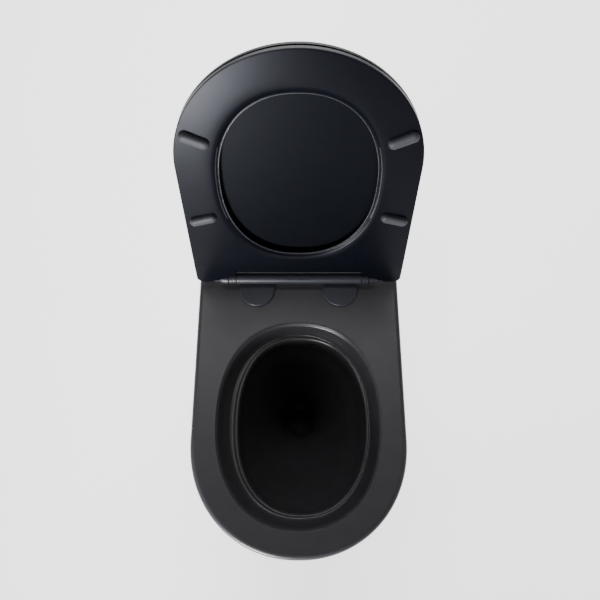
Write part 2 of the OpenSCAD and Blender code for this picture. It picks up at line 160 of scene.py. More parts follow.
def cut(obj, cutter, keep=False):
    m = obj.modifiers.new("cut", "BOOLEAN")
    m.operation = "DIFFERENCE"
    m.object = cutter
    m.solver = "EXACT"
    dg = bpy.context.evaluated_depsgraph_get()
    me = bpy.data.meshes.new_from_object(obj.evaluated_get(dg))
    obj.modifiers.clear()
    old = obj.data
    obj.data = me
    me.name = old.name
    bpy.data.meshes.remove(old)
    if not keep:
        c = cutter.data
        bpy.data.objects.remove(cutter)
        bpy.data.meshes.remove(c)


def box_obj(name, lo, hi):
    (x0, y0, z0), (x1, y1, z1) = lo, hi
    v = [(x, y, z) for x in (x0, x1) for y in (y0, y1) for z in (z0, z1)]
    f = [(0, 1, 3, 2), (4, 6, 7, 5), (0, 4, 5, 1), (2, 3, 7, 6), (0, 2, 6, 4), (1, 5, 7, 3)]
    o = mesh_obj(name, [(a * MM, b * MM, c * MM) for a, b, c in v], f, smooth=False)
    fix_normals(o)
    return o


def bevel(obj, width, segs=3, angle=30):
    m = obj.modifiers.new("soft_edges", "BEVEL")
    m.width = width * MM
    m.segments = segs
    m.limit_method = "ANGLE"
    m.angle_limit = math.radians(angle)
    m.harden_normals = False
    return m


def raise_up(obj):
    """Takes a piece drawn closed, with the hinge axis at the origin, to the raised pose."""
    mat = Matrix.Translation((0, HY * MM, HZ * MM)) @ Matrix.Rotation(-OPEN, 4, "X")
    obj.data.transform(mat)
    obj.data.update()


def smoothstep(t):
    t = np.clip(t, 0, 1)
    return t * t * (3 - 2 * t)


def catmull(ctrl, per):
    """Catmull-Rom through ctrl (K, N, 3), per new rings between two, ends kept."""
    ctrl = np.asarray(ctrl, float)
    p = np.concatenate([[2 * ctrl[0] - ctrl[1]], ctrl, [2 * ctrl[-1] - ctrl[-2]]])
    out = []
    for s in range(1, len(p) - 2):
        for j in range(per):
            t = j / per
            out.append(0.5 * (2 * p[s] + (p[s + 1] - p[s - 1]) * t
                       + (2 * p[s - 1] - 5 * p[s] + 4 * p[s + 1] - p[s + 2]) * t ** 2
                       + (3 * p[s] - p[s - 1] - 3 * p[s + 1] + p[s + 2]) * t ** 3))
    out.append(ctrl[-1])
    return np.array(out)


def around(table, deg):
    """Smooth periodic value at angle deg from a table of (deg, value)."""
    xs = np.array([a for a, _ in table], float)
    ys = np.array([b for _, b in table], float)
    xs = np.concatenate([xs - 360, xs, xs + 360])
    ys = np.concatenate([ys, ys, ys])
    d = np.asarray(deg, float) % 360
    k = np.clip(np.searchsorted(xs, d, side="right") - 1, 1, len(xs) - 3)
    t = (d - xs[k]) / (xs[k + 1] - xs[k])
    m0 = (ys[k + 1] - ys[k - 1]) / (xs[k + 1] - xs[k - 1]) * (xs[k + 1] - xs[k])
    m1 = (ys[k + 2] - ys[k]) / (xs[k + 2] - xs[k]) * (xs[k + 1] - xs[k])
    return ((2 * t ** 3 - 3 * t ** 2 + 1) * ys[k] + (t ** 3 - 2 * t ** 2 + t) * m0
            + (-2 * t ** 3 + 3 * t ** 2) * ys[k + 1] + (t ** 3 - t ** 2) * m1)


# ---------------------------------------------------------------- pan
N = 384
ANG = 2 * np.pi * np.arange(N) / N
DEG = np.degrees(ANG)
BC = np.array([0.0, -83.0])


def half_w(y, r):
    """Half width of the pan at y for a front radius r: a touch wider towards the wall."""
    return r - 0.6 + np.clip((y + 114.0) / 274.0, 0, 1.05) * 3.4


def pan_outline(inset, rear_in=0.0, corner=3.0):
    """U-shaped outline, N points counter-clockwise from the right side at the bowl's centre line."""
    r = 178.0 - inset
    cyf = -293.0 + 178.0
    pts = []
    yr = WALL - rear_in
    c = max(corner, 0.6)
    for y in np.linspace(BC[1], yr - c, 51, endpoint=False):
        pts.append((half_w(y, r), y))
    w = half_w(yr - c, r)
    for t in np.linspace(0, np.pi / 2, 12, endpoint=False):
        pts.append((w - c + c * math.cos(t), yr - c + c * math.sin(t)))
    for x in np.linspace(w - c, -(w - c), 66, endpoint=False):
        pts.append((x, yr))
    for t in np.linspace(np.pi / 2, np.pi, 12, endpoint=False):
        pts.append((-(w - c) + c * math.cos(t), yr - c + c * math.sin(t)))
    for y in np.linspace(yr - c, BC[1], 51, endpoint=False):
        pts.append((-half_w(y, r), y))
    for y in np.linspace(BC[1], cyf, 6, endpoint=False):
        pts.append((-half_w(y, r), y))
    k = 2 / 2.09
    for t in np.linspace(np.pi, 2 * np.pi, 180, endpoint=False):
        co, si = math.cos(t), math.sin(t)
        pts.append((half_w(cyf, r) * math.copysign(abs(co) ** k, co), cyf - r * abs(si) ** k))
    for y in np.linspace(cyf, BC[1], 6, endpoint=False):
        pts.append((half_w(y, r), y))
    return np.array(pts)


def egg(c, al, ar, bf, br, n):
    co, si = np.cos(ANG), np.sin(ANG)
    a = np.where(co < 0, al, ar)
    b = np.where(si > 0, br, bf)
    x = c[0] + a * np.sign(co) * np.abs(co) ** (2 / n)
    y = c[1] + b * np.sign(si) * np.abs(si) ** (2 / n)
    return np.stack([x, y], 1)


def lift(p2, z):
    z = np.broadcast_to(np.asarray(z, float), (len(p2),))
    return np.concatenate([p2, z[:, None]], 1)


def inset(p2, d):
    """Moves a closed outline inwards along its own normals by d (scalar or per point)."""
    t = np.roll(p2, -1, 0) - np.roll(p2, 1, 0)
    t /= np.maximum(np.linalg.norm(t, axis=1, keepdims=True), 1e-9)
    nrm = np.stack([-t[:, 1], t[:, 0]], 1)
    return p2 + nrm * np.broadcast_to(np.asarray(d, float), (len(p2),))[:, None]


def skirt_in(z):
    return 42.0 * smoothstep((RIM * 0.86 - z) / (RIM * 0.80))


OPENING = egg(BC, 133.5, 133.5, 166, 159, 2.25)
# the flush ledge: inset of its outer edge and its width, by angle (0 right, 90 rear, 180 left, 270 front)
WALL_IN = around([(0, 11), (30, 11), (60, 9), (90, 6), (120, 8), (150, 12), (180, 14), (225, 14), (270, 12), (315, 12)], DEG)
LEDGE_W = around([(0, 4.5), (30, 4.0), (60, 3.5), (90, 6.5), (120, 9.5), (150, 12), (180, 13), (225, 10), (270, 6), (315, 5)], DEG)
LEDGE_Z = around([(0, 37), (60, 34), (90, 34), (150, 35), (180, 36), (270, 38), (315, 38)], DEG)


def bowl_inside():
    rings = []
    er = 4.0  # rounding of the opening's edge
    for t in np.linspace(90, 0, 9):
        a = math.radians(t)
        rings.append(lift(inset(OPENING, -er * math.sin(a)), RIM - er + er * math.sin(a)))
    # wall down to the ledge
    for f in (0.06, 0.2, 0.4, 0.6, 0.78, 0.9):
        d = WALL_IN * (0.25 * f + 0.75 * f ** 2.2)
        rings.append(lift(inset(OPENING, d), RIM - er - (LEDGE_Z - er - 3.0) * f))
    # fillet into the ledge, which is a shallow channel with a rounded lip
    DIP = np.clip(LEDGE_W / 13.0, 0.25, 1.0) * 2.6
    for g, dz, dip in ((0.0, 0.9, 0.0), (0.07, -0.1, 0.2), (0.18, -0.7, 0.55), (0.34, -1.1, 0.9), (0.5, -1.2, 1.0), (0.66, -1.1, 0.8),
                       (0.8, -1.0, 0.4), (0.9, -1.0, 0.1), (1.0, -1.25, 0.0)):
        rings.append(lift(inset(OPENING, WALL_IN + LEDGE_W * g), RIM - LEDGE_Z + dz - DIP * dip))
    for e, dz in ((0.9, -1.7), (1.8, -2.5), (2.7, -3.8), (3.5, -5.6), (4.1, -7.8)):
        rings.append(lift(inset(OPENING, WALL_IN + LEDGE_W + e), RIM - LEDGE_Z + dz))
    lip = inset(OPENING, WALL_IN + LEDGE_W + 4.9)
    top = lift(lip, RIM - LEDGE_Z - 14)
    rows = [(62, 0, -80, 107, 143, 140, 2.25), (85, 0, -78, 103, 136, 133, 2.2), (115, 0, -75, 95, 123, 121, 2.15),
            (150, 0, -69, 83, 106, 106, 2.1), (185, 0, -61, 68, 85, 85, 2.05), (215, 0, -53, 54, 64, 63, 2.0),
            (245, 0, -46.5, 41, 46, 45, 2.0), (268, 0, -44, 34, 36, 36, 2.0)]
    ctrl = [lift(inset(OPENING, WALL_IN + LEDGE_W + 4.5), RIM - LEDGE_Z - 10.5), top]
    for k, (d, cx, cy, a, bf, br, n) in enumerate(rows):
        e = egg((cx, cy), a, a, bf, br, n)
        w = max(0.0, 1 - (d - 40) / 60.0)
        keep = inset(OPENING, WALL_IN + LEDGE_W + 4.9 + (d - 50) * 0.10)
        ctrl.append(lift(e * (1 - w) + keep * w, RIM - d))
    body = catmull(ctrl, 5)
    rings += list(body[1:])
    return rings


def path_rings(pts, n_out):
    """Rings round a smooth path (y, z, radius) in the middle plane, first ring level."""
    p = catmull(np.array(pts, float)[:, None, :], n_out)[:, 0, :]
    out = []
    for k in range(len(p)):
        a, b = p[max(k - 1, 0)], p[min(k + 1, len(p) - 1)]
        ty, tz = b[0] - a[0], b[1] - a[1]
        ln = math.hypot(ty, tz)
        ty, tz = ty / ln, tz / ln
        vy, vz = -tz, ty  # quarter turn ahead of the path, +Y while the path runs down
        r = p[k, 2]
        ring = np.stack([r * np.cos(ANG), p[k, 0] + vy * r * np.sin(ANG), p[k, 1] + vz * r * np.sin(ANG)], 1)
        out.append(ring)
    return out


TRAP_IN = [(-45, 118, 32), (-44, 104, 29), (-30, 92, 27.5), (0, 92, 27), (30, 122, 27), (58, 168, 27), (84, 200, 27),
           (112, 198, 27), (138, 184, 30), (158, 180, 38), (170, 180, 42), (190, 180, 42), (214.5, 180, 42)]
TRAP_OUT = [(-45, 118, 44), (-45, 104, 40), (-32, 88, 38), (2, 86, 37), (36, 118, 37), (62, 168, 37), (84, 202, 37),
            (112, 199, 37), (138, 184, 40), (150, 180, 50.5), (160, 180, 51), (190, 180, 51), (214.5, 180, 51)]


def build_pan():
    rings = []
    # deck, from the opening to the outer edge
    deck_out = pan_outline(8.0, rear_in=3.5, corner=4.0)
    start = inset(OPENING, -4.0)
    for f in (0.02, 0.12, 0.35, 0.65, 0.88, 0.985):
        rings.append(lift(start * (1 - f) + deck_out * f, RIM))
    # rounded outer edge
    for t in np.linspace(0, 90, 10):
        a = math.radians(t)
        rings.append(lift(pan_outline(8.0 * (1 - math.sin(a)), rear_in=3.5 * (1 - math.sin(a)), corner=4.0), RIM - 8.0 * (1 - math.cos(a))))
    # skirt
    for z in np.concatenate([[391.0, 388.0], np.linspace(380, 8, 44), [4.0, 2.2]]):
        rings.append(lift(pan_outline(float(skirt_in(z))), z))
    for t in np.linspace(15, 90, 5):
        a = math.radians(t)
        rings.append(lift(pan_outline(float(skirt_in(0)) + 2.0 * (1 - math.cos(a)), rear_in=2.0 * (1 - math.cos(a))), 2.0 - 2.0 * math.sin(a)))
    f0 = float(skirt_in(0))
    rings.append(lift(pan_outline(f0 + 23.0, rear_in=12.0, corner=6), 0.0))
    rings.append(lift(pan_outline(f0 + 24.0, rear_in=12.6, corner=6), 1.0))
    rings.append(lift(pan_outline(f0 + 24.0, rear_in=12.6, corner=6), 13.0))
    rings.append(lift(pan_outline(f0 + 21.0, rear_in=12.6, corner=6), 18.0))
    # inside of the skirt up to the underside of the deck
    for z in np.linspace(26, 362, 26):
        rings.append(lift(pan_outline(float(skirt_in(z)) + 12.0, rear_in=12.0, corner=8), z))
    for t in np.linspace(20, 90, 5):
        a = math.radians(t)
        rings.append(lift(pan_outline(12.0 + 12.0 * (1 - math.cos(a)), rear_in=12.0 + 6 * (1 - math.cos(a)), corner=10), 366 + 14.0 * math.sin(a)))
    # outside of the bowl, down to the trapway
    out_rows = [(20.2, -83, 146, 178, 172, 2.25), (24, -83, 144, 176, 170, 2.25), (40, -82, 139, 171, 165, 2.25),
                (80, -79, 119, 151, 147, 2.2), (115, -75, 108, 136, 134, 2.15), (150, -69, 95, 118, 118, 2.1),
                (185, -61, 79, 96, 96, 2.05), (215, -53, 65, 76, 74, 2.0), (245, -46, 54, 58, 56, 2.0), (268, -45, 47, 48, 48, 2.0)]
    ctrl = [lift(egg((0, cy), a, a, bf, br, n), RIM - d) for d, cy, a, bf, br, n in out_rows]
    rings += list(catmull(ctrl, 3))
    rings += path_rings(TRAP_OUT, 4)
    # rounded end of the spigot
    for t in np.linspace(20, 90, 4):
        a = math.radians(t)
        r = 51 - 3 * (1 - math.cos(a))
        rings.append(np.stack([r * np.cos(ANG), np.full(N, 214.5 + 1.5 * math.sin(a)), 180 + r * np.sin(ANG)], 1))
    for t in np.linspace(90, 0, 4):
        a = math.radians(t)
        r = 42 + 3 * (1 - math.cos(a))
        rings.append(np.stack([r * np.cos(ANG), np.full(N, 214.5 + 1.5 * math.sin(a)), 180 + r * np.sin(ANG)], 1))
    inner = path_rings(TRAP_IN, 4)
    rings += inner[::-1][1:]
    bowl = bowl_inside()
    rings += bowl[::-1]
    o = grid_obj("pan_china", rings)
    fix_normals(o)
    return o


pan = build_pan()
# the rear is open below the flush chamber, following the inside of the skirt
prof = [(-(178.0 - float(skirt_in(z)) - 12.0), z) for z in np.linspace(14, 284, 20)]
prof = [(-110.0, -6.0), (-110.0, 14.0)] + prof
prof = prof + [(-x, z) for x, z in prof[::-1]]
verts = [(x * MM, y * MM, z * MM) for y in (206.0, 240.0) for x, z in prof]
m = len(prof)
faces = [tuple(range(m)), tuple(range(2 * m - 1, m - 1, -1))] + [(i, (i + 1) % m, m + (i + 1) % m, m + i) for i in range(m)]
cutter = mesh_obj("cutter", verts, faces, smooth=False)
fix_normals(cutter)
cut(pan, cutter)


def rod(name, at, rot, r, h, segs=64):
    """Capped cylinder of radius r that starts at a point and runs along the turned Z axis."""
    o = revolve(name, [(0, 0), (r, 0), (r, h), (0, h)], segs)
    o.data.transform(Matrix.Translation(Vector(at) * MM) @ rot)
    return o


RX = lambda d: Matrix.Rotation(math.radians(d), 4, "X")
RZ = lambda d: Matrix.Rotation(math.radians(d), 4, "Z")
# the flush chamber's own rear face fills this window, flush with the pan's
cut(pan, box_obj("cutter", (-64, 209, 294), (64, 240, 380)))
# the jet's mouth in the rear right of the bowl wall, under the ledge
jet = rod("cutter", (44, 104, 343), RZ(-20) @ RX(90), 7.5, 62, 48)
cut(pan, jet)
for s in (-1, 1):
    cut(pan, rod("cutter", (75 * s, 143, 350), Matrix.Identity(4), 8, 60, 64))
    cut(pan, rod("cutter", (s * 120, 150, 55), Matrix.Rotation(math.radians(90 * s), 4, "Y"), 5.2, 40, 48))
fix_normals(pan)
sharp_by_angle(pan, 58)
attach(pan, "pan_assembly")
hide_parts("pan_deck", "pan_skirt", "pan_bowl", "pan_trapway")

# ---------------------------------------------------------------- seat and lid, drawn closed with the hinge axis at the origin
SEAT_C = np.array([0.0, -230.0])


def seat_outline(ins):
    """D outline, N points from the right at the opening's middle, counter-clockwise."""
    a, b, ra, c, sc = 178.5 - ins, 188.0 - ins, 181.0 - ins, 12.0, 260.0
    rear = 2.0 - ins
    pts = []
    pw = lambda s: a + (ra - a) * np.clip((sc - s) / 258.0, 0, 1)
    for sv in np.linspace(230, c - rear, 60, endpoint=False):
        pts.append((pw(sv), -sv))
    w = pw(c - rear)
    for t in np.linspace(0, np.pi / 2, 14, endpoint=False):
        pts.append((w - c + c * math.cos(t), rear - c + c * math.sin(t)))
    for x in np.linspace(w - c, -(w - c), 44, endpoint=False):
        pts.append((x, rear))
    for t in np.linspace(np.pi / 2, np.pi, 14, endpoint=False):
        pts.append((-(w - c) + c * math.cos(t), rear - c + c * math.sin(t)))
    for sv in np.linspace(c - rear, 230, 60, endpoint=False):
        pts.append((-pw(sv), -sv))
    for sv in np.linspace(230, 260, 8, endpoint=False):
        pts.append((-pw(sv), -sv))
    for t in np.linspace(np.pi, 2 * np.pi, 176, endpoint=False):
        pts.append((a * math.cos(t), -sc + b * math.sin(t)))
    for sv in np.linspace(260, 230, 8, endpoint=False):
        pts.append((pw(sv), -sv))
    return np.array(pts)


HOLE = egg(SEAT_C, 116, 116, 154.5, 154.5, 2.25)


def near_hinge(p2, depth, reach=46.0):
    return depth * smoothstep((reach + p2[:, 1]) / (reach - 6.0))


def build_seat():
    rings = []
    # underside from the outer edge to the opening, crowned
    for ins, zz in ((0.0, -4.0), (0.0, -7.3), (0.08, -7.85), (0.3, -8.25), (0.7, -8.5), (1.2, -8.62)):
        o = seat_outline(ins)
        rings.append(lift(o, zz + near_hinge(o, 0.9 if zz < -5 else 0.4)))
    o1, i1 = seat_outline(1.2), inset(HOLE, -7.5)
    for f in (0.04, 0.1, 0.18, 0.28, 0.38, 0.48, 0.58, 0.68, 0.8, 0.9, 1.0):
        p = o1 * (1 - f) + i1 * f
        crown = -9.95 + 1.33 * (1 - min(f / 0.78, 1.0)) ** 1.7 + 0.6 * max(0.0, (f - 0.78) / 0.22) ** 2
        rings.append(lift(p, crown + near_hinge(p, 1.2)))
    # dip and thin lip at the opening
    for ins, zz in ((-6.0, -8.6), (-4.6, -7.7), (-3.4, -7.0), (-2.4, -6.75), (-1.7, -6.95), (-1.2, -7.25), (-0.7, -7.3), (-0.25, -7.05), (0, -6.5),
                    (0, -5.0), (0, -3.2), (-0.4, -2.2), (-1.4, -1.4), (-3.0, -1.05)):
        rings.append(lift(inset(HOLE, ins), zz))
    i2, o2 = inset(HOLE, -3.0), seat_outline(2.6)
    for f in (0.1, 0.3, 0.5, 0.7, 0.9, 1.0):
        rings.append(lift(i2 * (1 - f) + o2 * f, -1.0))
    for ins, zz in ((0.9, -1.1), (0.4, -1.35), (0.1, -1.75), (0.0, -2.3)):
        rings.append(lift(seat_outline(ins), zz))
    o = grid_obj("seat_ring", rings)
    fix_normals(o)
    cut(o, rounded_cutter(-111.6, 111.6, -31, 40, -30, 20, 1.5))
    cut(o, rounded_cutter(-125.6, 125.6, -13.6, 40, -30, 20, 1.5))
    ears = []
    for s, bore in ((-1, 4.05), (1, 3.05)):
        prof = [(0, 138.6), (bore, 138.6), (bore, 125.6), (10.6, 125.6), (11, 126.0), (11, 128.5), (10.9, 131.5), (10.4, 135.2),
                (9.4, 139), (7.9, 142.6), (5.9, 145.6), (3.4, 147.9), (1.4, 148.9), (0, 149.2)]
        e = revolve("ear", prof, 96, "x")
        if s < 0:
            e.data.transform(Matrix.Diagonal((-1, 1, 1, 1)))
            fix_normals(e)
        ears.append(e)
    o = join("seat_ring", [o] + ears)
    return o


def rounded_cutter(x0, x1, y0, y1, z0, z1, r=3.0):
    pts = []
    for cx, cy, a0 in ((x1 - r, y1 - r, 0), (x0 + r, y1 - r, 90), (x0 + r, y0 + r, 180), (x1 - r, y0 + r, 270)):
        for t in np.linspace(0, 90, 7):
            a = math.radians(a0 + t)
            pts.append((cx + r * math.cos(a), cy + r * math.sin(a)))
    k = len(pts)
    v = [(x * MM, y * MM, z * MM) for z in (z0, z1) for x, y in pts]
    f = [tuple(range(k - 1, -1, -1)), tuple(range(k, 2 * k))] + [(i, (i + 1) % k, k + (i + 1) % k, k + i) for i in range(k)]
    c = mesh_obj("cutter", v, f, smooth=False)
    fix_normals(c)
    return c


def lid_outline(ins):
    """The lid has the seat's outline."""
    return seat_outline(ins)


def build_lid():
    rings = []
    mid = np.array([0.0, -225.0])
    # underside: a flat rim and a shallow recess inside it
    for ins, zz in ((0.3, 4.6), (0.3, 3.0), (0.45, 2.45), (0.9, 2.1), (1.7, 2.0)):
        rings.append(lift(lid_outline(ins), zz))
    for ins, zz in ((12, 2.0), (16, 2.05), (20, 2.5), (25, 3.2), (32, 3.7), (45, 4.0)):
        rings.append(lift(mid + (lid_outline(0.3) - mid) * (1 - ins / 185.0), zz))
    for f in (0.6, 0.4, 0.2, 0.05):
        rings.append(lift(mid + (seat_outline(0.0) - mid) * f, 4.1))
    bottom = len(rings)
    top = []
    for f in (0.05, 0.25, 0.5, 0.75, 0.95):
        top.append(lift(mid + (lid_outline(3.0) - mid) * f, 9.0 - 0.15 * f ** 6))
    for ins, zz in ((1.6, 8.75), (0.9, 8.45), (0.5, 8.0), (0.3, 7.4)):
        top.append(lift(lid_outline(ins), zz))
    low = grid_like(rings, top)
    fix_normals(low)
    cut(low, rounded_cutter(-151.2, 151.2, -13, 40, -30, 30))
    parts = [low]
    for s, bore in ((-1, 4.06), (1, 4.05)):
        e = revolve("ear", [(bore, 112.0), (10.6, 112.0), (11, 112.4), (11, 124.2), (10.6, 124.6), (bore, 124.6)], 96, "x")
        w = box_obj("web", (112.3, -18, 2.4), (124.3, -6.0, 8.6))
        if s < 0:
            for q in (e, w):
                q.data.transform(Matrix.Diagonal((-1, 1, 1, 1)))
                fix_normals(q)
        parts += [e, w]
    return join("lid_plate", parts)


def grid_like(under, top):
    """Closed plate from rings that run inwards below and outwards above, with small caps in the middle."""
    rings = np.asarray(list(under), float)
    rt = np.asarray(list(top), float)
    allr = np.concatenate([rings, rt]) * MM
    k, n, _ = allr.shape
    verts = [tuple(v) for v in allr.reshape(-1, 3)]
    faces = []
    ku = len(rings)
    pairs = [(a, a + 1) for a in range(ku - 1)] + [(a, a + 1) for a in range(ku, k - 1)] + [(k - 1, 0)]
    for a, b in pairs:
        for i in range(n):
            j = (i + 1) % n
            faces.append((a * n + i, a * n + j, b * n + j, b * n + i))
    for a in (ku - 1, ku):
        c = len(verts)
        verts.append(tuple(allr[a].mean(0)))
        for i in range(n):
            faces.append((a * n + i, a * n + (i + 1) % n, c))
    return mesh_obj("lid_plate", verts, faces)


seat = build_seat()
# painted highlight: the seat's outer edge band, the thin lip round the opening and the hinge ears take a lighter,
# shinier copy of the resin where they catch the light
seat_highlight_faces = []
for f in seat.data.polygons:
    cx, cy, cz = f.center.x * 1000, f.center.y * 1000, f.center.z * 1000
    e = (abs(cx) / 116.0) ** 2.25 + (abs(cy + 230.0) / 154.5) ** 2.25
    edge = cy < -30.0 and -8.4 < cz < -1.3 and abs(f.normal.z) < 0.85 and e > 1.1
    seat_highlight_faces.append(edge or (0.97 < e < 1.028 and cz < -5.2) or (abs(cx) > 125.7 and cy * cy + cz * cz < 122.0 and cy > -14.0 and cz < 1.0 and abs(cx) < 149.4 and abs(f.normal.z) < 0.999))
raise_up(seat)
sharp_by_angle(seat, 38)
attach(seat, "seat_body")
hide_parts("seat")
lid = build_lid()
# painted highlight: the lid's edge band takes the lighter, shinier copy of the resin where it catches the light; the
# lid's ears take it too, to match the hinge bar's tone
lid_highlight_faces = []
for f in lid.data.polygons:
    cx, cy, cz = f.center.x * 1000, f.center.y * 1000, f.center.z * 1000
    rim = cy < -30.0 and 2.6 < cz < 8.5 and abs(f.normal.z) < 0.85
    lid_highlight_faces.append(rim or (abs(cx) > 111.9 and cy * cy + cz * cz < 150.0 and cy > -14.0 and abs(cx) < 124.7))
raise_up(lid)
sharp_by_angle(lid, 38)
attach(lid, "lid_body")
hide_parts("lid")


def bumper(name, node, x, s, turn, side):
    """Domed oblong rubber bumper that hangs under the seat."""
    half, r, n = 14.0, 8.0, 48
    outline = []
    for t in np.linspace(-90, 90, n):
        outline.append((half + r * math.cos(math.radians(t)), r * math.sin(math.radians(t))))
    for t in np.linspace(90, 270, n):
        outline.append((-half + r * math.cos(math.radians(t)), r * math.sin(math.radians(t))))
    outline = np.array(outline)
    core = outline.copy()
    core[:, 0] = np.clip(core[:, 0], -half + 1.0, half - 1.0)
    core[:, 1] = 0
    rings = []
    for f, h in ((0.96, 4.2), (1.0, 0.25), (1.0, -0.9), (0.985, -2.2), (0.95, -3.6), (0.88, -5.0), (0.77, -6.1), (0.62, -6.95), (0.42, -7.45), (0.2, -7.66), (0.03, -7.7)):
        rings.append(lift(core + (outline - core) * f, -9.95 + h))
    o = grid_obj(name, rings, close_rings=False)
    fix_normals(o)
    mat = Matrix.Translation((x * MM, -s * MM, 0)) @ Matrix.Rotation(math.radians(turn), 4, "Z")
    if side < 0:
        mat = Matrix.Diagonal((-1, 1, 1, 1)) @ mat
    o.data.transform(mat)
    fix_normals(o)
    raise_up(o)
    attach(o, "seat_body")
    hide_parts(node)
    return o


bumpers = [bumper("bumper_%s_%s" % (w, d), "seat_bumper_%s_%s" % (w, d), x, s, turn, sg)
           for w, x, s, turn in (("front", 143.5, 314.0, -25.0), ("rear", 150.0, 160.0, 16.0))
           for d, sg in (("left", -1), ("right", 1))]

# ---------------------------------------------------------------- materials
def material(name, color, dark, rough, rough2, scale=60.0, bump=0.04, metallic=0.0, spec=0.5, coat=0.0, coat_rough=0.2,
             fine=900.0, wobble=0.0, painted_deep_shade=False, tint=(1.0, 1.0, 1.0)):
    """Procedural finish: two close tones, uneven roughness, fine grain and, for glaze, slow waviness."""
    mt = bpy.data.materials.new(name)
    mt.use_nodes = True
    nt = mt.node_tree
    b = nt.nodes["Principled BSDF"]
    b.inputs["Metallic"].default_value = metallic
    b.inputs["Specular IOR Level"].default_value = spec
    b.inputs["Specular Tint"].default_value = (*tint, 1.0)
    b.inputs["Coat Weight"].default_value = coat
    b.inputs["Coat Roughness"].default_value = coat_rough
    tc = nt.nodes.new("ShaderNodeTexCoord")
    n1 = nt.nodes.new("ShaderNodeTexNoise")
    n1.inputs["Scale"].default_value = scale
    n1.inputs["Detail"].default_value = 6
    nt.links.new(tc.outputs["Object"], n1.inputs["Vector"])
    ramp = nt.nodes.new("ShaderNodeValToRGB")
    ramp.color_ramp.elements[0].position = 0.3
    ramp.color_ramp.elements[1].position = 0.7
    ramp.color_ramp.elements[0].color = (*dark, 1)
    ramp.color_ramp.elements[1].color = (*color, 1)
    nt.links.new(n1.outputs["Fac"], ramp.inputs["Fac"])
    nt.links.new(ramp.outputs["Color"], b.inputs["Base Color"])
    n2 = nt.nodes.new("ShaderNodeTexNoise")
    n2.inputs["Scale"].default_value = scale * 0.35
    n2.inputs["Detail"].default_value = 4
    nt.links.new(tc.outputs["Object"], n2.inputs["Vector"])
    mr = nt.nodes.new("ShaderNodeMapRange")
    mr.inputs["To Min"].default_value = rough
    mr.inputs["To Max"].default_value = rough2
    nt.links.new(n2.outputs["Fac"], mr.inputs["Value"])
    nt.links.new(mr.outputs["Result"], b.inputs["Roughness"])
    n3 = nt.nodes.new("ShaderNodeTexNoise")
    n3.inputs["Scale"].default_value = fine
    n3.inputs["Detail"].default_value = 3
    nt.links.new(tc.outputs["Object"], n3.inputs["Vector"])
    bp = nt.nodes.new("ShaderNodeBump")
    bp.inputs["Strength"].default_value = bump
    bp.inputs["Distance"].default_value = 0.0006
    nt.links.new(n3.outputs["Fac"], bp.inputs["Height"])
    last = bp
    if wobble:
        n4 = nt.nodes.new("ShaderNodeTexNoise")
        n4.inputs["Scale"].default_value = 14
        n4.inputs["Detail"].default_value = 1
        nt.links.new(tc.outputs["Object"], n4.inputs["Vector"])
        bw = nt.nodes.new("ShaderNodeBump")
        bw.inputs["Strength"].default_value = wobble
        bw.inputs["Distance"].default_value = 0.002
        nt.links.new(n4.outputs["Fac"], bw.inputs["Height"])
        nt.links.new(bp.outputs["Normal"], bw.inputs["Normal"])
        last = bw
    nt.links.new(last.outputs["Normal"], b.inputs["Normal"])
    if painted_deep_shade:
        # painted shade: the glaze's specular level falls lower down in the bowl, standing in for the shade deep inside
        # it
        sep = nt.nodes.new("ShaderNodeSeparateXYZ")
        nt.links.new(tc.outputs["Object"], sep.inputs["Vector"])
        down = nt.nodes.new("ShaderNodeMapRange")
        down.inputs["From Min"].default_value = 0.12
        down.inputs["From Max"].default_value = 0.385
        down.inputs["To Min"].default_value = 0.04
        down.inputs["To Max"].default_value = spec
        nt.links.new(sep.outputs["Z"], down.inputs["Value"])
        nt.links.new(down.outputs["Result"], b.inputs["Specular IOR Level"])
    return mt


